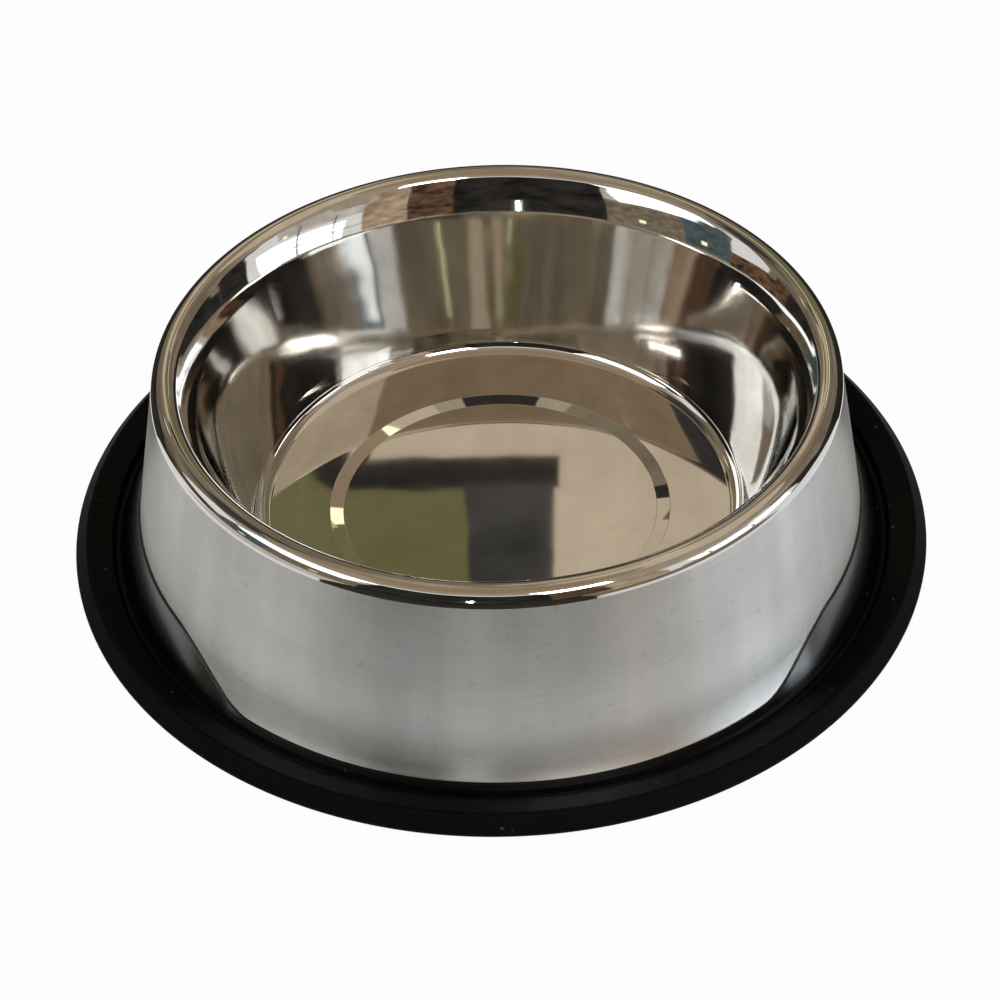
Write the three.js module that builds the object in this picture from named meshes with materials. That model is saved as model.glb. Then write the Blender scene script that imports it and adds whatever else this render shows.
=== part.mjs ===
// Non-tip pet food bowl: one deep-drawn stainless sheet standing in a moulded rubber ring.
// Millimetres, +Z up. The ring's foot is at Z = 0 and the bowl's axis is the Z axis.
import * as THREE from "three";

const degrees = THREE.MathUtils.degToRad;

// Sheet steel. All heights and radii are those of the visible side of the sheet.
const SHEET_THICKNESS = 0.6;
// Floor: a shallow dished disc, a narrow coined slope around it, then a gentle rise to the wall.
const DISC_RADIUS = 46.2;
const DISC_HEIGHT = 3.6;
const DISH_ROUND = 700;
const COIN_WIDTH = 3.9;
const COIN_RISE = 0.7;
const COIN_ROUND = 1.5;
const WALL_FOOT_HEIGHT = 7.3;
const WALL_FOOT_ROUND = 5;
// Inner wall and the mouth that flares from it, as leans from upright and the mouth's depth.
const WALL_LEAN = degrees(18.2);
const LIP_LEAN = degrees(38);
const LIP_DROP = 6.3;
const FLARE_ROUND = 28;
// Rolled rim: a round bead that the skirt hangs from and the mouth runs into.
const BEAD_ROUND = 4.2;
const RIM_TOP = 60.8;
// Outer skirt and the hem that sweeps out at its foot. The hem's edge carries all that stands above.
const SKIRT_LEAN = degrees(10);
const HEM_LEAN = degrees(35);
const HEM_RISE = 4.5;
const HEM_ROUND = 20;
const HEM_RADIUS = 109.2;
const HEM_HEIGHT = 2.8;

// Rubber ring, as widths from the hem's edge: the seat inward, all others outward.
const FIT_GAP = 0.3;
const SEAT_WIDTH = 4.3;
const COLLAR_WIDTH = 1.3;
const COLLAR_SIDE_WIDTH = 1.2;
const GROOVE_WIDTH = 1.3;
const BRIM_SIDE_WIDTH = 0.9;
const TOP_WIDTH = 7;
const BEVEL_WIDTH = 3.8;
const COLLAR_HEIGHT = 3;
const GROOVE_HEIGHT = 1.5;
const GROOVE_ROUND = 0.4;
const BRIM_HEIGHT = 3.3;
const BRIM_ROUND = 0.5;
const CREST_HEIGHT = 5.5;
const CREST_ROUND = 1.6;
const EDGE_HEIGHT = 1.6;
const EDGE_ROUND = 1;
const FOOT_ROUND = 1.2;
// The collar climbs the skirt from the hem's edge, and stays low across the front.
const LIP_WIDTH = 0.5;
const LIP_RISE = 11;
const FRONT_LIP_RISE = 0.9;
const FRONT_HALF_ANGLE = degrees(40);
const FRONT_RAMP = degrees(20);
const LIP_STEPS = 6;

// Facets: flats around the axis, and how far an arc's flats may stand off its curve.
const TURN_SEGMENTS = 60;
const ARC_SAG = 0.05;
// A point nearer the axis than this lies on it.
const ON_AXIS = 1e-6;

const at = (radius, height) => new THREE.Vector2(radius, height);
const toward = (heading) => at(Math.cos(heading), Math.sin(heading));
const leftOf = (heading) => toward(heading + Math.PI / 2);
const corner = (point, round = 0) => ({ point, round });

// Where the line through a along one heading meets the line through b along another.
function meet(a, headingA, b, headingB) {
  const across = leftOf(headingB);
  const reach = b.clone().sub(a).dot(across) / toward(headingA).dot(across);
  return a.clone().addScaledVector(toward(headingA), reach);
}

// Walks a line from corner to corner, turning each rounded one into an arc.
// Gives every point with the heading there.
function roundedWalk(corners, closed) {
  const count = corners.length;
  const neighbour = (i) => (closed ? corners[(i + count) % count] : corners[i]);
  const walk = [];
  corners.forEach(({ point, round }, i) => {
    const before = neighbour(i - 1);
    const after = neighbour(i + 1);
    const leaving = after && after.point.clone().sub(point);
    const arriving = before ? point.clone().sub(before.point) : leaving;
    const start = arriving.angle();
    const turn = leaving ? Math.atan2(arriving.cross(leaving), arriving.dot(leaving)) : 0;
    if (round === 0) {
      walk.push({ point, heading: start + turn / 2 });
      return;
    }
    const side = Math.sign(turn);
    const trim = round * Math.tan(Math.abs(turn) / 2);
    const centre = point.clone().addScaledVector(toward(start), -trim);
    centre.addScaledVector(leftOf(start), side * round);
    const steps = Math.ceil(Math.abs(turn) / (2 * Math.acos(1 - ARC_SAG / round)));
    for (let k = 0; k <= steps; k += 1) {
      const heading = start + (turn * k) / steps;
      const onArc = centre.clone().addScaledVector(leftOf(heading), -side * round);
      walk.push({ point: onArc, heading });
    }
  });
  return walk;
}

// Sweeps a closed section about the Z axis into a named piece. The section may change with the angle.
function sweptPiece(name, sectionAt, material) {
  const positions = [];
  const faces = [];
  for (let k = 0; k < TURN_SEGMENTS; k += 1) {
    const angle = (2 * Math.PI * k) / TURN_SEGMENTS;
    const section = sectionAt(angle);
    const here = k * section.length;
    const next = ((k + 1) % TURN_SEGMENTS) * section.length;
    section.forEach(({ x: radius, y: height }, i) => {
      positions.push(radius * Math.cos(angle), radius * Math.sin(angle), height);
      const j = (i + 1) % section.length;
      if (radius > ON_AXIS) faces.push(here + i, next + i, next + j);
      if (section[j].x > ON_AXIS) faces.push(here + i, next + j, here + j);
    });
  }
  const geometry = new THREE.BufferGeometry();
  geometry.setAttribute("position", new THREE.Float32BufferAttribute(positions, 3));
  geometry.setIndex(faces);
  geometry.computeVertexNormals();
  const piece = new THREE.Mesh(geometry, material);
  piece.name = name;
  return piece;
}

// Steel bowl: floor, wall, flared lip, rolled rim, skirt and hem in one sheet.
const wallHeading = Math.PI / 2 - WALL_LEAN;
const lipHeading = Math.PI / 2 - LIP_LEAN;
const skirtHeading = SKIRT_LEAN - Math.PI / 2;
const hemHeading = HEM_LEAN - Math.PI / 2;
const hemEdge = at(HEM_RADIUS, HEM_HEIGHT);
const hemTop = meet(hemEdge, hemHeading, at(0, HEM_HEIGHT + HEM_RISE), 0);
const besideBead = hemTop.clone().addScaledVector(leftOf(skirtHeading), -BEAD_ROUND);
const beadCentre = meet(besideBead, skirtHeading, at(0, RIM_TOP - BEAD_ROUND), 0);
const skirtStart = beadCentre.clone().addScaledVector(leftOf(skirtHeading), BEAD_ROUND);
const lipEnd = beadCentre.clone().addScaledVector(leftOf(lipHeading), BEAD_ROUND);
const lipFoot = meet(lipEnd, lipHeading, at(0, RIM_TOP - LIP_DROP), 0);
const wallFoot = meet(lipFoot, wallHeading, at(0, WALL_FOOT_HEIGHT), 0);
// The dish is one arc from the axis to where the coined slope's rounding begins.
const dishReach = DISC_RADIUS - COIN_ROUND;
const dishSlope = 2 * Math.atan(dishReach / 2 / DISH_ROUND);
const dishMiddle = at(dishReach / 2, DISC_HEIGHT);
const discEdge = meet(dishMiddle, dishSlope, at(DISC_RADIUS, 0), Math.PI / 2);
const coinEdge = discEdge.clone().add(at(COIN_WIDTH, COIN_RISE));
const visibleSide = roundedWalk([
  corner(at(0, DISC_HEIGHT)),
  corner(dishMiddle, DISH_ROUND),
  corner(discEdge, COIN_ROUND),
  corner(coinEdge, COIN_ROUND),
  corner(wallFoot, WALL_FOOT_ROUND),
  corner(lipFoot, FLARE_ROUND),
  corner(meet(lipEnd, lipHeading, skirtStart, skirtHeading), BEAD_ROUND),
  corner(hemTop, HEM_ROUND),
  corner(hemEdge),
]);
const hiddenSide = visibleSide.map(({ point, heading }) =>
  point.clone().addScaledVector(leftOf(heading), -SHEET_THICKNESS),
);
const sheetSection = [...hiddenSide, ...visibleSide.map(({ point }) => point).reverse()];
const steel = new THREE.MeshStandardMaterial({ color: 0xb5b2aa, metalness: 1, roughness: 0.22 });

// Rubber ring: a flat foot, a bevelled edge and a dished top, then a groove around the collar.
// The collar holds the hem between its lip outside and its seat inside.
const seatStart = hemEdge.clone().addScaledVector(leftOf(hemHeading), -SHEET_THICKNESS - FIT_GAP);
const seatHeight = hiddenSide.at(-1).y - FIT_GAP;
const ringInnerRadius = HEM_RADIUS - SEAT_WIDTH;
const hemWallRadius = HEM_RADIUS + FIT_GAP;
const collarRadius = hemWallRadius + COLLAR_WIDTH;
const grooveInnerRadius = collarRadius + COLLAR_SIDE_WIDTH;
const grooveOuterRadius = grooveInnerRadius + GROOVE_WIDTH;
const brimRadius = grooveOuterRadius + BRIM_SIDE_WIDTH;
const crestRadius = brimRadius + TOP_WIDTH;
const ringRadius = crestRadius + BEVEL_WIDTH;
const ringOutside = roundedWalk([
  corner(at(ringInnerRadius, 0)),
  corner(at(ringRadius, 0), FOOT_ROUND),
  corner(at(ringRadius, EDGE_HEIGHT), EDGE_ROUND),
  corner(at(crestRadius, CREST_HEIGHT), CREST_ROUND),
  corner(at(brimRadius, BRIM_HEIGHT), BRIM_ROUND),
  corner(at(grooveOuterRadius, GROOVE_HEIGHT), GROOVE_ROUND),
  corner(at(grooveInnerRadius, GROOVE_HEIGHT), GROOVE_ROUND),
  corner(at(collarRadius, COLLAR_HEIGHT)),
]).map(({ point }) => point);

const seat = [
  at(hemWallRadius, seatHeight),
  meet(seatStart, hemHeading, at(0, seatHeight), 0),
  meet(seatStart, hemHeading, at(ringInnerRadius, 0), Math.PI / 2),
];

// The outer face of skirt and hem, the fit gap away from the sheet, at a height above the hem's edge.
const lipFace = visibleSide
  .filter(({ point }) => point.x > skirtStart.x - FIT_GAP)
  .map(({ point, heading }) => point.clone().addScaledVector(leftOf(heading), FIT_GAP))
  .reverse();
function lipFaceAt(rise) {
  const height = lipFace[0].y + rise;
  const above = lipFace.findIndex((point) => point.y >= height);
  if (above === 0) return lipFace[0];
  const low = lipFace[above - 1];
  const high = lipFace[above];
  return low.clone().lerp(high, (height - low.y) / (high.y - low.y));
}

// How far the collar's lip climbs at an angle about the axis. The front is toward -Y.
function lipRiseAt(angle) {
  const fromFront = Math.acos(-Math.sin(angle));
  const up = THREE.MathUtils.smoothstep(fromFront, FRONT_HALF_ANGLE, FRONT_HALF_ANGLE + FRONT_RAMP);
  return THREE.MathUtils.lerp(FRONT_LIP_RISE, LIP_RISE, up);
}

function ringSectionAt(angle) {
  const rise = lipRiseAt(angle);
  const lip = [];
  for (let k = LIP_STEPS; k >= 0; k -= 1) {
    lip.push(lipFaceAt((rise * k) / LIP_STEPS));
  }
  const lipEdge = lip[0].clone().add(at(LIP_WIDTH, 0));
  return [...ringOutside, lipEdge, ...lip, ...seat];
}
const rubber = new THREE.MeshStandardMaterial({ color: 0x0e0e0e, metalness: 0, roughness: 0.6 });

const bowl = new THREE.Group();
bowl.name = "pet_food_bowl";
bowl.add(sweptPiece("steel_bowl", () => sheetSection, steel));
bowl.add(sweptPiece("rubber_ring", ringSectionAt, rubber));

export default bowl;
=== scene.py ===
import math
import bpy
from mathutils import Matrix, Vector


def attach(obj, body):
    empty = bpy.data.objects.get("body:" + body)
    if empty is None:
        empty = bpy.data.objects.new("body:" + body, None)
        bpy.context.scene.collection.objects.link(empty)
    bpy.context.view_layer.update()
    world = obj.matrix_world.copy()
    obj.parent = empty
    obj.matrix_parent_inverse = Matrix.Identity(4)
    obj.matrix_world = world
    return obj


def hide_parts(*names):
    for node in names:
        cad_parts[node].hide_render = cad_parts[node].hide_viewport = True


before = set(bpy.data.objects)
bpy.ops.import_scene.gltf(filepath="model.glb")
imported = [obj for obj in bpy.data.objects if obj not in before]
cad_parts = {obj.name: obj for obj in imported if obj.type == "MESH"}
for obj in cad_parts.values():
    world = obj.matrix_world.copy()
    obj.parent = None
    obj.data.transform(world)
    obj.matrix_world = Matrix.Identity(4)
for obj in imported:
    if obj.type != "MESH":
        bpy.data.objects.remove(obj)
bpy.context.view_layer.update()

# Steel bowl: one stainless sheet, deep-drawn to a floor, wall and flared mouth, rolled over a round
# rim and turned down into a skirt that sweeps out to a hem. It is polished inside and over the rim,
# and the skirt is brushed satin. Sizes are millimetres on the visible side of the sheet.
SHEET_THICKNESS = 0.6
DISC_RADIUS, DISC_HEIGHT, DISH_ROUND = 46.2, 3.6, 700
COIN_WIDTH, COIN_RISE, COIN_ROUND = 3.9, 0.7, 1.5
WALL_FOOT_HEIGHT, WALL_FOOT_ROUND, WALL_LEAN = 7.3, 5, math.radians(18.2)
MOUTH_DROP, MOUTH_LEAN, FLARE_ROUND = 6.3, math.radians(38), 28
RIM_TOP, BEAD_ROUND = 60.79, 4.2
SKIRT_LEAN, POLISH_ENDS_HEIGHT = math.radians(10), 56.6
HEM_RISE, HEM_LEAN, HEM_ROUND = 4.5, math.radians(35), 20
HEM_RADIUS, HEM_HEIGHT = 109.2, 2.8
LEVEL, UPRIGHT = 0, math.pi / 2
ARC_STEPS, TURN_STEPS = 14, 256
TOUCHING, A_HAIR, MM_IN_METRE = 1e-6, 0.01, 1000


def at(radius, height):
    return Vector((radius, height))


def toward(heading):
    return at(math.cos(heading), math.sin(heading))


def left_of(heading):
    return toward(heading + UPRIGHT)


def meet(a, heading_a, b, heading_b):
    """Where the line through a along one heading meets the line through b along another."""
    across = left_of(heading_b)
    return a + toward(heading_a) * ((b - a).dot(across) / toward(heading_a).dot(across))


def rounded_walk(corners, closed=False):
    """Points and headings along a line of (point, round) corners, with an arc at each rounded one.
    An open line starts level."""
    walk, count = [], len(corners)
    for i, (point, round_) in enumerate(corners):
        before = corners[i - 1][0] if closed or i > 0 else None
        after = corners[(i + 1) % count][0] if closed or i < count - 1 else None
        arriving = point - before if before is not None else toward(LEVEL)
        leaving = after - point if after is not None else arriving
        start = math.atan2(arriving.y, arriving.x)
        turn = math.atan2(arriving.x * leaving.y - arriving.y * leaving.x, arriving.dot(leaving))
        if round_ == 0:
            walk += [(point, start), (point, start + turn)]
            continue
        side = math.copysign(round_, turn)
        arc_start = point - toward(start) * (round_ * math.tan(abs(turn) / 2))
        centre = arc_start + left_of(start) * side
        for k in range(ARC_STEPS + 1):
            heading = start + turn * k / ARC_STEPS
            walk.append((centre - left_of(heading) * side, heading))
    return walk


def swept_piece(name, section_at, finishes):
    """Sweeps a section of (point, outward normal, finish number) about the Z axis into one smooth
    piece. The section may change with the angle."""
    step = 2 * math.pi / TURN_STEPS
    sections = [section_at(k * step) for k in range(TURN_STEPS)]
    verts, normals, rings = [], [], []
    for i, (start, _, _) in enumerate(sections[0]):
        around = 1 if start.x < TOUCHING else TURN_STEPS
        rings.append((len(verts), around))
        for k in range(around):
            point, normal, _ = sections[k][i]
            c, s = math.cos(k * step), math.sin(k * step)
            place = point.x * c, point.x * s, point.y
            verts.append([length / MM_IN_METRE for length in place])
            change = sections[(k + 1) % TURN_STEPS][i][0] - sections[k - 1][i][0]
            twist = -change.dot(normal) / (2 * step * point.x) if around > 1 else 0
            outward = Vector((normal.x * c - twist * s, normal.x * s + twist * c, normal.y))
            normals.append(outward.normalized())
    faces, finish_of = [], []
    spans = zip(rings, rings[1:], sections[0], sections[0][1:])
    for (first, n), (second, m), here, there in spans:
        if (here[0] - there[0]).length < TOUCHING or (n == 1 and m == 1):
            continue
        for k in range(TURN_STEPS):
            j = (k + 1) % TURN_STEPS
            if n == 1:
                faces.append((first, second + k, second + j))
            elif m == 1:
                faces.append((first + j, first + k, second))
            else:
                faces.append((first + j, first + k, second + k, second + j))
            finish_of.append(there[2])
    mesh = bpy.data.meshes.new(name)
    mesh.from_pydata(verts, [], faces)
    mesh.polygons.foreach_set("material_index", finish_of)
    mesh.polygons.foreach_set("use_smooth", [True] * len(faces))
    mesh.normals_split_custom_set_from_vertices(normals)
    for finish in finishes:
        mesh.materials.append(finish)
    piece = bpy.data.objects.new(name, mesh)
    bpy.context.scene.collection.objects.link(piece)
    return piece


def node_adder(tree):
    """A function that adds a node to a tree, with its inputs and its settings."""
    def add(kind, inputs=None, **settings):
        made = tree.nodes.new(kind)
        for key, value in settings.items():
            setattr(made, key, value)
        for key, value in (inputs or {}).items():
            socket = made.inputs[key]
            if isinstance(value, bpy.types.NodeSocket):
                tree.links.new(value, socket)
            else:
                socket.default_value = value
        return made

    return add


def new_finish(name):
    """A material, its shader, a function that adds a node, and one that links to the shader."""
    finish = bpy.data.materials.new(name)
    finish.use_nodes = True
    tree = finish.node_tree
    shader = tree.nodes["Principled BSDF"]

    def link(source, target):
        tree.links.new(source, shader.inputs[target])

    return finish, shader, node_adder(tree), link


def all_over(shader, values):
    """Sets the shader's own sockets to what is the same all over the surface."""
    for socket, value in values.items():
        shader.inputs[socket].default_value = value


def maths(add, operation, *values):
    """Works out one number from others, each a socket or a plain number."""
    return add("ShaderNodeMath", dict(enumerate(values)), operation=operation).outputs[0]


def between(add, amount, start, end, low=0.0, high=1.0):
    """A number from low to high as amount goes from start to end."""
    return add("ShaderNodeMapRange", {"Value": amount, "From Min": start, "From Max": end,
                                      "To Min": low, "To Max": high}).outputs["Result"]


GRAIN_LOW, GRAIN_HIGH = 0.3, 0.7


def spread(add, amount, low, high):
    """A number from low to high over the usual range of a grain."""
    return between(add, amount, GRAIN_LOW, GRAIN_HIGH, low, high)


def shades(add, amount, dark, light, low=GRAIN_LOW, high=GRAIN_HIGH):
    """A blend from a dark to a light colour as amount goes from low to high."""
    ramp = add("ShaderNodeValToRGB", {"Fac": amount})
    for stop, place, colour in zip(ramp.color_ramp.elements, (low, high), (dark, light)):
        stop.position, stop.color = place, (*colour, 1)
    return ramp.outputs["Color"]


def own_place(add):
    """The place on a piece in metres, in the piece's own axes."""
    return add("ShaderNodeTexCoord").outputs["Object"]


def about_axis(add, own):
    """The angle, radius and height of a place, about the bowl's axis."""
    axes = add("ShaderNodeSeparateXYZ", {"Vector": own}).outputs
    flat = add("ShaderNodeVectorMath", {0: own, 1: (1, 1, 0)}, operation="MULTIPLY").outputs[0]
    radius = add("ShaderNodeVectorMath", {0: flat}, operation="LENGTH").outputs["Value"]
    return maths(add, "ARCTAN2", axes["Y"], axes["X"]), radius, axes["Z"]


def grain(add, place, scale, detail=3.0, roughness=0.55):
    """Noise from 0 to 1 with that many grains to the metre."""
    return add("ShaderNodeTexNoise", {"Vector": place, "Scale": scale, "Detail": detail,
                                      "Roughness": roughness}).outputs["Fac"]


def streaks(add, axes, counts, detail, roughness=0.55):
    """Noise drawn out into streaks: fine along the axes with high counts, long along the others."""
    parts = [maths(add, "MULTIPLY", axis, count) for axis, count in zip(axes, counts)]
    drawn_out = add("ShaderNodeCombineXYZ", dict(enumerate(parts))).outputs[0]
    return grain(add, drawn_out, 1, detail, roughness)


def bumped(add, link, *layers):
    """Joins (relief, strength, depth) layers, coarse first, on the shader's normal."""
    normal = None
    for relief, strength, depth in layers:
        inputs = {"Height": relief, "Strength": strength, "Distance": depth}
        if normal is not None:
            inputs["Normal"] = normal
        normal = add("ShaderNodeBump", inputs).outputs["Normal"]
    link(normal, "Normal")


# Mirror polish: slow waves left by the press, and faint upright lines drawn by the die. The wall,
# where the sheet was drawn over the die, is duller than the floor and the mouth. Finishes are laid
# out in metres.
POLISH_DARK, POLISH_LIGHT = (0.58, 0.565, 0.535), (0.66, 0.645, 0.615)
WAVE_GRAINS, HAZE_GRAINS, DIE_LINE_COUNTS = 34, 90, (60, 12, 6)
FLOOR_TO_WALL, MOUTH_TO_WALL = (0.008, 0.014), (0.052, 0.046)
POLISH_ROUGHNESS, LINE_ROUGHNESS, DRAWN_ROUGHNESS = (0.020, 0.026), (0.01, 0.04), 0.025
WAVE_DEPTH, FINE_DEPTH = 0.0006, 0.0001

polished_steel, shader, add, link = new_finish("polished_steel")
own = own_place(add)
angle, radius, height = about_axis(add, own)
waves = grain(add, own, WAVE_GRAINS, 1.5)
lines = streaks(add, (angle, radius, height), DIE_LINE_COUNTS, 4, 0.6)
haze = grain(add, own, HAZE_GRAINS, 4)
above_floor = between(add, height, *FLOOR_TO_WALL)
below_mouth = between(add, height, *MOUTH_TO_WALL)
drawn = maths(add, "MULTIPLY", above_floor, below_mouth)
worn = maths(add, "MULTIPLY", above_floor, spread(add, lines, *LINE_ROUGHNESS))
worn = maths(add, "MULTIPLY_ADD", drawn, DRAWN_ROUGHNESS, worn)
pressed = maths(add, "MULTIPLY", waves, above_floor)
scored = maths(add, "MULTIPLY", lines, above_floor)
all_over(shader, {"Metallic": 1.0})
link(shades(add, haze, POLISH_DARK, POLISH_LIGHT), "Base Color")
link(maths(add, "ADD", worn, spread(add, haze, *POLISH_ROUGHNESS)), "Roughness")
bumped(add, link, (waves, 0.03, WAVE_DEPTH), (pressed, 0.35, WAVE_DEPTH),
       (scored, 0.03, FINE_DEPTH))

# Satin: brushed around the skirt, with hairlines, a few dark specks and one upright scratch. Its
# colour is painted paler toward the foot, as painted light on the lower skirt.
SATIN_DARK, SATIN_LIGHT = (0.46, 0.465, 0.455), (0.70, 0.705, 0.69)
HAIR_COUNTS, BAND_COUNTS, CLOUD_GRAINS, SPECK_GRAINS = (5, 3600, 300), (9, 9), 38, 420
SPECK_STARTS, SPECK_FULL, MARK_SHADE = 0.76, 0.82, 0.3
SCRATCH_ANGLE, SCRATCH_HALF_ANGLE, SCRATCH_TOP = -1.752, 0.0016, 0.031
SKIRT_TO_FOOT, FOOT_PAINTED_LIGHT = (0.034, 0.012), 0.7
SATIN_ROUGHNESS = 0.38, 0.48
TONE_DROP, TONE_SHARE, TONE_RANGE = 1.0, 0.5, (0.1, 0.7)

satin_steel, shader, add, link = new_finish("satin_steel")
own = own_place(add)
angle, radius, height = about_axis(add, own)
hairs = streaks(add, (angle, height, radius), HAIR_COUNTS, 3)
bands = streaks(add, (angle, height), BAND_COUNTS, 2)
cloud = grain(add, own, CLOUD_GRAINS, 4)
speck = between(add, grain(add, own, SPECK_GRAINS, 0), SPECK_STARTS, SPECK_FULL)
aside = maths(add, "COMPARE", angle, SCRATCH_ANGLE, SCRATCH_HALF_ANGLE)
low = maths(add, "LESS_THAN", height, SCRATCH_TOP)
mark = maths(add, "MAXIMUM", speck, maths(add, "MULTIPLY", aside, low))
# Painted light: foot lifts the satin's colour toward the foot of the skirt, to brighten the lower
# skirt.
foot = between(add, height, *SKIRT_TO_FOOT, high=FOOT_PAINTED_LIGHT)
tone = maths(add, "ADD", maths(add, "ADD", hairs, bands), cloud)
tone = maths(add, "SUBTRACT", tone, maths(add, "MULTIPLY_ADD", mark, MARK_SHADE, TONE_DROP))
tone = maths(add, "MULTIPLY", maths(add, "ADD", tone, foot), TONE_SHARE)
all_over(shader, {"Metallic": 1.0, "Anisotropic": 0.8, "Anisotropic Rotation": 0.25})
link(shades(add, tone, SATIN_DARK, SATIN_LIGHT, *TONE_RANGE), "Base Color")
link(spread(add, hairs, *SATIN_ROUGHNESS), "Roughness")
link(add("ShaderNodeTangent", direction_type="RADIAL", axis="Z").outputs[0], "Tangent")
bumped(add, link, (hairs, 0.10, FINE_DEPTH))

# Hidden side: dull mill finish, clouded by the drawing oil.
MILL_DARK, MILL_LIGHT, MILL_ROUGHNESS = (0.36, 0.355, 0.34), (0.46, 0.455, 0.44), (0.38, 0.50)
OIL_GRAINS, MILL_GRAINS = 60, 1800

mill_steel, shader, add, link = new_finish("mill_steel")
own = own_place(add)
oil = grain(add, own, OIL_GRAINS, 5)
all_over(shader, {"Metallic": 1.0})
link(shades(add, oil, MILL_DARK, MILL_LIGHT), "Base Color")
link(spread(add, oil, *MILL_ROUGHNESS), "Roughness")
bumped(add, link, (grain(add, own, MILL_GRAINS, 2), 0.15, FINE_DEPTH))

POLISHED, SATIN, MILL = range(3)
wall_heading = UPRIGHT - WALL_LEAN
mouth_heading = UPRIGHT - MOUTH_LEAN
skirt_heading = SKIRT_LEAN - UPRIGHT
hem_heading = HEM_LEAN - UPRIGHT
hem_edge = at(HEM_RADIUS, HEM_HEIGHT)
hem_top = meet(hem_edge, hem_heading, at(0, HEM_HEIGHT + HEM_RISE), LEVEL)
beside_bead = hem_top - left_of(skirt_heading) * BEAD_ROUND
bead_centre = meet(beside_bead, skirt_heading, at(0, RIM_TOP - BEAD_ROUND), LEVEL)
skirt_start = bead_centre + left_of(skirt_heading) * BEAD_ROUND
polish_end = meet(skirt_start, skirt_heading, at(0, POLISH_ENDS_HEIGHT), LEVEL)
mouth_end = bead_centre + left_of(mouth_heading) * BEAD_ROUND
mouth_foot = meet(mouth_end, mouth_heading, at(0, RIM_TOP - MOUTH_DROP), LEVEL)
wall_foot = meet(mouth_foot, wall_heading, at(0, WALL_FOOT_HEIGHT), LEVEL)
dish_reach = DISC_RADIUS - COIN_ROUND
dish_slope = 2 * math.atan(dish_reach / 2 / DISH_ROUND)
dish_middle = at(dish_reach / 2, DISC_HEIGHT)
disc_edge = meet(dish_middle, dish_slope, at(DISC_RADIUS, 0), UPRIGHT)
sheet_line = rounded_walk([
    (dish_middle, DISH_ROUND),
    (disc_edge, COIN_ROUND),
    (disc_edge + at(COIN_WIDTH, COIN_RISE), COIN_ROUND),
    (wall_foot, WALL_FOOT_ROUND),
    (mouth_foot, FLARE_ROUND),
    (meet(mouth_end, mouth_heading, skirt_start, skirt_heading), BEAD_ROUND),
    (polish_end, 0),
    (hem_top, HEM_ROUND),
    (hem_edge, 0),
])
bowl_section = []
for point, heading in sheet_line:
    below_bead = point.x > bead_centre.x and point.y < POLISH_ENDS_HEIGHT - A_HAIR
    bowl_section.append((point, left_of(heading), SATIN if below_bead else POLISHED))
for point, heading in reversed(sheet_line):
    hidden = point - left_of(heading) * SHEET_THICKNESS
    bowl_section.append((hidden, -left_of(heading), MILL))
steel_bowl = swept_piece("drawn_steel_bowl", lambda angle: bowl_section,
                         [polished_steel, satin_steel, mill_steel])
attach(steel_bowl, "root")
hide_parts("steel_bowl")

# Rubber ring: one black moulding bonded around the steel hem, with a flat foot, a rough bevelled
# edge and a smooth dished top. Inside a narrow groove its collar climbs the foot of the skirt as a
# thin lip, which stays low across the front. Sizes are widths outward from the edge of the hem.
FIT_GAP, SEAT_WIDTH, COLLAR_WIDTH, COLLAR_SIDE_WIDTH = 0.3, 4.3, 1.3, 1.2
GROOVE_WIDTH, BRIM_SIDE_WIDTH, TOP_WIDTH, BEVEL_WIDTH = 1.3, 0.9, 7, 3.79
COLLAR_HEIGHT, COLLAR_ROUND = 3, 0.35
GROOVE_HEIGHT, GROOVE_ROUND = 1.5, 0.4
BRIM_HEIGHT, BRIM_ROUND = 3.3, 0.5
CREST_HEIGHT, CREST_ROUND = 5.5, 1.6
EDGE_HEIGHT, EDGE_ROUND, FOOT_ROUND = 1.6, 1, 1.2
LIP_WIDTH, LIP_ROUND, LIP_RISE, FRONT_LIP_RISE = 0.5, 0.2, 11, 0.9
FRONT_HALF_ANGLE, FRONT_RAMP, LIP_STEPS = math.radians(40), math.radians(20), 6

# Rubber: black and semi-matt, with moulded pits on the bevel, a bloom of dust, a few pale flecks,
# and a lip rubbed glossy. It is laid out in metres.
RUBBER_BLACK, RUBBER_FLECK = (0.0010, 0.0010, 0.0011), (0.035, 0.035, 0.035)
PIT_GRAINS, DUST_GRAINS, FLECK_GRAINS = 1500, 160, 520
FLECK_STARTS, FLECK_FULL, FLECK_SHARE, DUST_SHARE = 0.82, 0.87, 0.8, 0.04
PALE_RANGE = 0.012, 0.82
TOP_TO_BEVEL, LIP_REACH, COLLAR_TO_LIP = (0.1205, 0.1222), 0.1125, (0.0036, 0.0065)
TOP_ROUGHNESS, BEVEL_ROUGHNESS, PIT_DEPTH = (0.26, 0.36), 0.62, 0.0002

black_rubber, shader, add, link = new_finish("black_rubber")
own = own_place(add)
_, radius, height = about_axis(add, own)
bevel = between(add, radius, *TOP_TO_BEVEL)
pits = grain(add, own, PIT_GRAINS, 3)
dust = grain(add, own, DUST_GRAINS, 5)
flecks = between(add, grain(add, own, FLECK_GRAINS, 0), FLECK_STARTS, FLECK_FULL)
pale = maths(add, "MULTIPLY_ADD", flecks, FLECK_SHARE, maths(add, "MULTIPLY", dust, DUST_SHARE))
inside = maths(add, "LESS_THAN", radius, LIP_REACH)
glossy_lip = maths(add, "MULTIPLY", inside, between(add, height, *COLLAR_TO_LIP))
rough = add("ShaderNodeMix", {"Factor": bevel, "A": spread(add, dust, *TOP_ROUGHNESS),
                              "B": BEVEL_ROUGHNESS}).outputs["Result"]
all_over(shader, {"Specular IOR Level": 0.06, "Coat Roughness": 0.22, "Coat IOR": 1.75})
link(shades(add, pale, RUBBER_BLACK, RUBBER_FLECK, *PALE_RANGE), "Base Color")
link(rough, "Roughness")
link(glossy_lip, "Coat Weight")
bumped(add, link, (maths(add, "MULTIPLY", pits, bevel), 0.5, PIT_DEPTH), (pits, 0.06, FINE_DEPTH))

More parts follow.
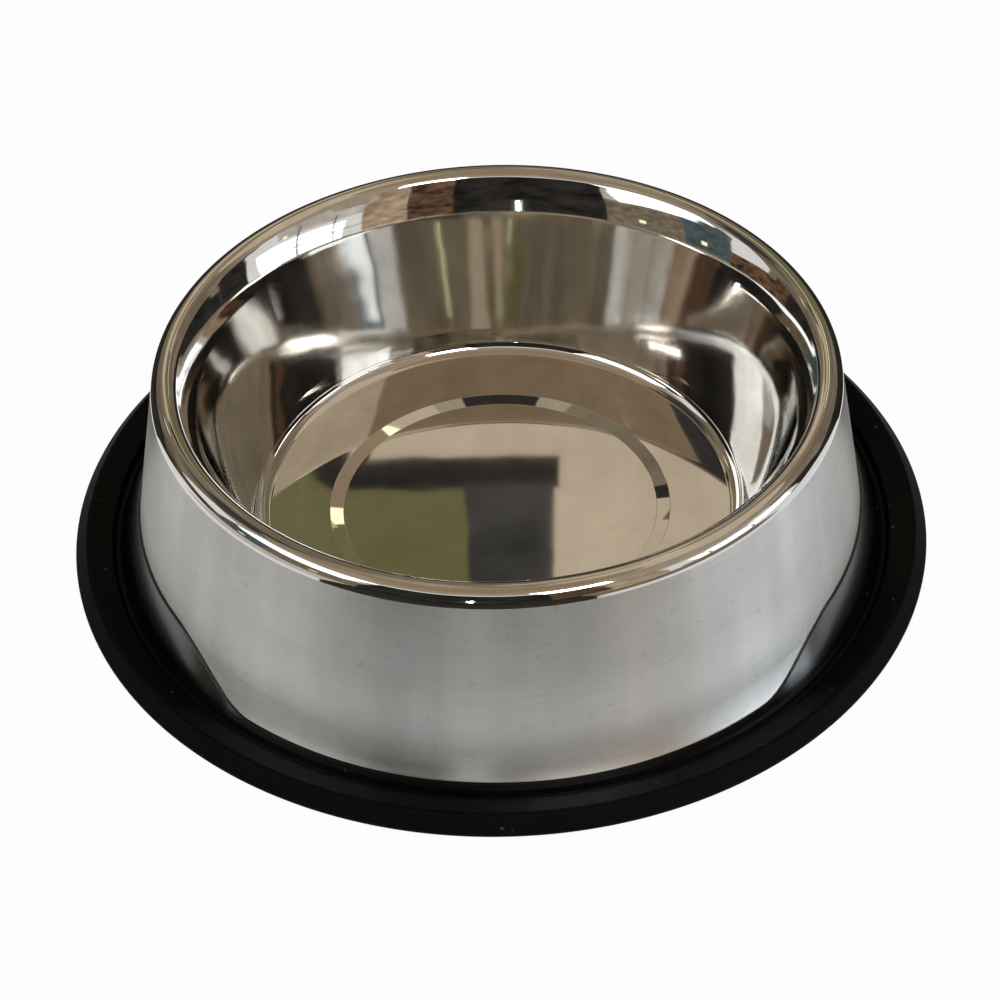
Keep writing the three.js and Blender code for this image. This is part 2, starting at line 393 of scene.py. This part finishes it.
seat_start = hem_edge - left_of(hem_heading) * (SHEET_THICKNESS + FIT_GAP)
seat_height = hem_edge.y - left_of(hem_heading).y * SHEET_THICKNESS - FIT_GAP
ring_inner_radius = HEM_RADIUS - SEAT_WIDTH
hem_wall_radius = HEM_RADIUS + FIT_GAP
collar_radius = hem_wall_radius + COLLAR_WIDTH
groove_inner_radius = collar_radius + COLLAR_SIDE_WIDTH
groove_outer_radius = groove_inner_radius + GROOVE_WIDTH
brim_radius = groove_outer_radius + BRIM_SIDE_WIDTH
crest_radius = brim_radius + TOP_WIDTH
ring_radius = crest_radius + BEVEL_WIDTH
lip_face = [point + left_of(heading) * FIT_GAP for point, heading in reversed(sheet_line)
            if point.x > skirt_start.x - FIT_GAP]


def lip_face_at(rise):
    """The face of the lip, the fit gap away from the sheet, at a height above the hem's edge."""
    height = lip_face[0].y + rise
    for low, high in zip(lip_face, lip_face[1:]):
        if high.y > low.y and high.y >= height:
            return low.lerp(high, (height - low.y) / (high.y - low.y))


def ring_section_at(angle):
    """The ring's section, with its lip low across the front, which is toward -Y."""
    from_front = math.acos(-math.sin(angle))
    climb = min(1, max(0, (from_front - FRONT_HALF_ANGLE) / FRONT_RAMP))
    rise = FRONT_LIP_RISE + (LIP_RISE - FRONT_LIP_RISE) * climb * climb * (3 - 2 * climb)
    lip_top = lip_face_at(rise)
    line = rounded_walk([
        (at(ring_inner_radius, 0), 0),
        (at(ring_radius, 0), FOOT_ROUND),
        (at(ring_radius, EDGE_HEIGHT), EDGE_ROUND),
        (at(crest_radius, CREST_HEIGHT), CREST_ROUND),
        (at(brim_radius, BRIM_HEIGHT), BRIM_ROUND),
        (at(groove_outer_radius, GROOVE_HEIGHT), GROOVE_ROUND),
        (at(groove_inner_radius, GROOVE_HEIGHT), GROOVE_ROUND),
        (at(collar_radius, COLLAR_HEIGHT), COLLAR_ROUND),
        (lip_top + at(LIP_WIDTH, 0), LIP_ROUND),
        (lip_top, 0),
        *((lip_face_at(rise * k / LIP_STEPS), 0) for k in range(LIP_STEPS - 1, -1, -1)),
        (at(hem_wall_radius, seat_height), 0),
        (meet(seat_start, hem_heading, at(0, seat_height), LEVEL), 0),
        (meet(seat_start, hem_heading, at(ring_inner_radius, 0), UPRIGHT), 0),
    ], closed=True)
    return [(point, -left_of(heading), 0) for point, heading in reversed(line + line[:1])]


rubber_ring = swept_piece("moulded_rubber_ring", ring_section_at, [black_rubber])
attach(rubber_ring, "root")
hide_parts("rubber_ring")

# Floor: a plain white sweep, a hair under the ring's foot, that shows the camera and the steel a
# white table under the object's own soft shadow.
FLOOR_RADIUS, FLOOR_HEIGHT, WHITE_SHARE = 4, -0.0002, 0.95


def seen_rays(add):
    """1 for rays from the camera, off gloss or through glass, and 0 for the light on the object."""
    rays = add("ShaderNodeLightPath").outputs
    seen = maths(add, "MAXIMUM", rays["Is Camera Ray"], rays["Is Glossy Ray"])
    return maths(add, "MAXIMUM", seen, rays["Is Transmission Ray"])


def show(finish, shown):
    """Makes another shader the finish's surface."""
    surface = finish.node_tree.nodes["Material Output"].inputs["Surface"]
    finish.node_tree.links.new(shown.outputs[0], surface)


bpy.ops.mesh.primitive_circle_add(vertices=96, radius=FLOOR_RADIUS, fill_type="NGON",
                                  location=(0, 0, FLOOR_HEIGHT))
floor = bpy.context.object
floor.name = "floor"
white_floor, shader, add, _ = new_finish("white_floor")
all_over(shader, {"Base Color": (0.9, 0.9, 0.9, 1), "Roughness": 0.9, "Specular IOR Level": 0.0})
white = add("ShaderNodeEmission", {"Color": (1, 1, 1, 1), "Strength": 1.0})
share = maths(add, "MULTIPLY", seen_rays(add), WHITE_SHARE)
show(white_floor, add("ShaderNodeMixShader", {0: share, 1: shader.outputs[0],
                                              2: white.outputs[0]}))
floor.data.materials.append(white_floor)

# Studio cards: plain curved cards in a dozen colours, stood around the table out of the picture for
# the polished steel to mirror. They glow with their own light, in place of lit walls and lamps, and
# the
# GLOW ones make the steel's glints. They only show in reflections. Each spans degrees around the
# bowl, counted from the right through the back, from a foot to a top of (radius, height) in metres.
BLACK = (0.01, 0.01, 0.01), (0.05, 0.045, 0.04)
SLATE = (0.03, 0.03, 0.03), (0.09, 0.085, 0.08)
NAVY = (0.03, 0.035, 0.05), (0.15, 0.17, 0.22)
TEAL = (0.05, 0.07, 0.08), (0.14, 0.18, 0.19)
OLIVE = (0.17, 0.155, 0.065), (0.22, 0.21, 0.10)
WALNUT = (0.02, 0.015, 0.01), (0.24, 0.14, 0.08)
BROWN = (0.14, 0.11, 0.08), (0.34, 0.28, 0.20)
UMBER = (0.34, 0.25, 0.165), (0.43, 0.31, 0.20)
TAN = (0.36, 0.30, 0.22), (0.52, 0.44, 0.34)
PEACH = (0.30, 0.20, 0.13), (0.75, 0.58, 0.42)
BEIGE = (0.66, 0.54, 0.40), (0.73, 0.60, 0.45)
PALE = (0.56, 0.51, 0.45), (0.80, 0.75, 0.68)
GLOW = (1.5, 1.5, 0.9), (2.0, 2.0, 1.3)
CARD_COLUMNS = 24
FAR, LESS_FAR, SLOPE_FAR, SLOPE_LESS_FAR = 3.6, 3.4, 3.3, 3.2
MIDWAY, NEAR, TABLE_HEIGHT = 1.2, 0.45, 0.0002


def card(name, around, foot, top, colours, grains=2):
    """A card that blends softly between its two colours, with that many grains to the metre."""
    start, end = (math.radians(side) for side in around)
    verts, faces = [], []
    for i in range(CARD_COLUMNS + 1):
        turn = start + (end - start) * i / CARD_COLUMNS
        for radius, height in (foot, top):
            verts.append((radius * math.cos(turn), radius * math.sin(turn), height))
        if i < CARD_COLUMNS:
            faces.append((2 * i, 2 * i + 2, 2 * i + 3, 2 * i + 1))
    mesh = bpy.data.meshes.new(name)
    mesh.from_pydata(verts, [], faces)
    made = bpy.data.objects.new(name, mesh)
    bpy.context.scene.collection.objects.link(made)
    paint, _, add, _ = new_finish(name + "_paint")
    blend = shades(add, grain(add, own_place(add), grains), *colours)
    # The card glows with its own colours; nothing lights it.
    show(paint, add("ShaderNodeEmission", {"Color": blend, "Strength": 1.0}))
    mesh.materials.append(paint)
    made.visible_camera = made.visible_diffuse = made.visible_shadow = False
    made.visible_transmission = False


def up(rise, distance=FAR):
    """The (radius, height) so many degrees up at a distance from the bowl."""
    return distance * math.cos(math.radians(rise)), distance * math.sin(math.radians(rise))


def on_table(radius):
    """The (radius, height) on the table at a radius from the bowl's axis."""
    return radius, TABLE_HEIGHT


def near(height, forward=0.0):
    """The (radius, height) on the near cards, or a little in front of them."""
    return NEAR - forward, height


# In front, from the left to the right.
card("card_front_dark", (228, 284), up(0), up(50), BLACK)
card("card_front_brown", (284, 301), up(0), up(50), WALNUT, 3)
card("card_front_peach", (301, 318), up(0), up(42), PEACH, 3)
card("card_front_glint", (306, 307.6), up(22.6, LESS_FAR), up(25, LESS_FAR), GLOW)
# Flat on the table, around the bowl.
card("card_table_dark", (226, 292), on_table(0.195), on_table(FAR), BLACK)
card("card_table_brown", (292, 345), on_table(0.22), on_table(1.5), BROWN, 12)
card("card_table_pale", (180, 226), on_table(0.22), on_table(1.5), PALE, 12)
card("card_table_back", (15, 165), on_table(0.15), on_table(FAR), BLACK)
# To the right, around the low softbox and before it.
card("card_right_low", (322, 375), up(0), up(4.5), NAVY, 4)
card("card_right_dark", (367, 380), up(0), up(27), BLACK, 4)
card("card_right_end", (362, 382), up(27), up(35), BROWN)
card("card_right_mid", (318, 353), up(26), up(35), PALE, 3)
card("card_right_high", (301, 380), up(35), up(56), TAN)
card("card_right_bar", (330, 330.8), up(3, MIDWAY), up(34, MIDWAY), BROWN, 9)
card("card_right_post", (345, 346), up(3, MIDWAY), up(34, MIDWAY), BROWN, 9)
card("card_right_rail", (318, 362), up(15, MIDWAY), up(16, MIDWAY), TAN, 9)
card("card_right_glint", (350.6, 352.6), up(28.8, MIDWAY), up(31.2, MIDWAY), GLOW)
# At the back.
card("card_back_low", (20, 160), up(0), up(15), BLACK)
card("card_back", (20, 160), up(15), up(50), BROWN)
card("card_back_shade", (133.5, 160), up(44, LESS_FAR), up(57, LESS_FAR), SLATE)
card("card_back_glint", (126, 128.5), up(34.5, LESS_FAR), up(38.5, LESS_FAR), GLOW)
# At the back, near and midway, for the dished floor.
card("card_disc_top", (83.3, 96.7), near(0.424), near(0.442), BEIGE, 20)
card("card_disc_right", (83.8, 88.9), near(0.36, -0.0005), near(0.4255, -0.0005), BEIGE, 20)
card("card_disc_left", (90.6, 96.2), near(0.36, -0.0005), near(0.4155, -0.0005), OLIVE, 20)
card("card_disc_bar", (88.6, 96.7), near(0.4145, 0.0006), near(0.4245, 0.0006), BLACK, 20)
card("card_disc_post", (88.75, 90.8), near(0.36, 0.001), near(0.416, 0.001), SLATE, 40)
card("card_far_right", (83, 90), (MIDWAY, 0.9), (MIDWAY, 1.25), BEIGE)
card("card_far_left", (90, 97), (MIDWAY, 0.9), (MIDWAY, 1.25), OLIVE)
# At the back and far, for the coined slope around the disc.
card("card_coin_olive", (70, 87), up(24, SLOPE_FAR), up(39.2, SLOPE_FAR), OLIVE)
card("card_coin_brown", (70, 80), up(39.2, SLOPE_FAR), up(53, SLOPE_FAR), UMBER)
card("card_coin_glint", (77, 79.5), up(38, SLOPE_LESS_FAR), up(40.5, SLOPE_LESS_FAR), GLOW)
card("card_coin_spark", (75.5, 78), up(53, SLOPE_LESS_FAR), up(55, SLOPE_LESS_FAR), GLOW)
card("card_coin_beige", (94, 110), up(24, SLOPE_FAR), up(40.6, SLOPE_FAR), BEIGE)
card("card_coin_dark", (99, 110), up(40.6, SLOPE_FAR), up(42.6, SLOPE_FAR), BLACK)
card("card_coin_grey", (99, 110), up(42.6, SLOPE_FAR), up(60, SLOPE_FAR), BROWN)
card("card_coin_top", (85.4, 95.4), up(57.5, SLOPE_LESS_FAR), up(62, SLOPE_LESS_FAR), BLACK)
# To the left, under the high softbox.
card("card_left_dark", (150, 178), up(0), up(17), WALNUT, 5)
card("card_left_low", (178, 198), up(0), up(6), BROWN, 4)
card("card_left_teal", (178, 198), up(6), up(35), TEAL, 6)
card("card_left_brown", (198, 228), up(0), up(30), BROWN, 5)
card("card_left_pale", (198, 228), up(30), up(42), PALE)
card("card_left_high", (160, 226), up(40), up(71), TAN)
card("card_left_glint", (188.5, 191), up(10.5, LESS_FAR), up(14, LESS_FAR), GLOW)
card("card_left_spark", (213, 215.5), up(10.5, LESS_FAR), up(14, LESS_FAR), GLOW)
# Overhead.
card("card_above", (0, 360), up(70), up(90), UMBER)
card("card_above_front", (226, 361), up(55), up(71), TAN)
card("card_above_right", (0, 82), up(48), up(71), BEIGE)
card("card_above_back", (82, 118), up(48), up(71), TAN)
card("card_above_left", (118, 172), up(56), up(71), UMBER)
card("card_above_shade", (112, 133.5), up(48, LESS_FAR), up(59.4, LESS_FAR), SLATE)

# Light: a low softbox to the right, a high one to the left, a soft lamp above the front and a thin
# low one, and an even white sky that the camera and the steel see as the white background.
LAMPS_FACE = Vector((0, 0, 0.03))
SKY_LIGHT, SKY_SEEN = 0.55, 1.0


def soft_lamp(name, place, size, power, colour):
    data = bpy.data.lights.new(name, "AREA")
    data.shape = "RECTANGLE"
    data.size, data.size_y = size
    data.energy, data.color = power, colour
    lamp = bpy.data.objects.new(name, data)
    lamp.location = place
    lamp.rotation_mode = "QUATERNION"
    lamp.rotation_quaternion = (LAMPS_FACE - Vector(place)).to_track_quat("-Z", "Y")
    bpy.context.scene.collection.objects.link(lamp)


soft_lamp("softbox_right", place=(1.40, -0.40, 0.38), size=(0.95, 0.55), power=4.6,
          colour=(0.78, 0.89, 1.0))
soft_lamp("softbox_left", place=(-1.02, -0.42, 1.02), size=(0.90, 0.55), power=3.6,
          colour=(0.88, 0.94, 1.0))
soft_lamp("lamp_front", place=(0.42, -0.86, 1.30), size=(0.45, 0.35), power=5.2,
          colour=(1.0, 0.98, 0.95))
soft_lamp("lamp_low", place=(-0.24, -1.48, 0.34), size=(0.025, 0.36), power=0.7,
          colour=(1.0, 0.99, 0.97))

sky = bpy.data.worlds.new("white_sky")
bpy.context.scene.world = sky
sky.use_nodes = True
background = sky.node_tree.nodes["Background"]
background.inputs["Color"].default_value = (1, 1, 1, 1)
add = node_adder(sky.node_tree)
level = between(add, seen_rays(add), 0, 1, SKY_LIGHT, SKY_SEEN)
sky.node_tree.links.new(level, background.inputs["Strength"])

# Camera: in front and above, looking down at the bowl, and turned a little about its own axis. It
# stands in metres, and its lens is in millimetres.
CAMERA_PLACE, LENS, SENSOR_WIDTH = (0, -0.5778, 0.5233), 94.7, 36
LOOK_DOWN, ROLL = math.radians(41.79), math.radians(-1.55)

right, over = Vector((1, 0, 0)), Vector((0, math.sin(LOOK_DOWN), math.cos(LOOK_DOWN)))
tilted_right = right * math.cos(ROLL) + over * math.sin(ROLL)
tilted_up = over * math.cos(ROLL) - right * math.sin(ROLL)
axes = Matrix((tilted_right, tilted_up, tilted_right.cross(tilted_up))).transposed()
camera_data = bpy.data.cameras.new("camera")
camera_data.lens, camera_data.sensor_width = LENS, SENSOR_WIDTH
camera = bpy.data.objects.new("camera", camera_data)
bpy.context.scene.collection.objects.link(camera)
camera.matrix_world = Matrix.Translation(CAMERA_PLACE) @ axes.to_4x4()
bpy.context.scene.camera = camera
bpy.context.scene.view_settings.view_transform = "Standard"
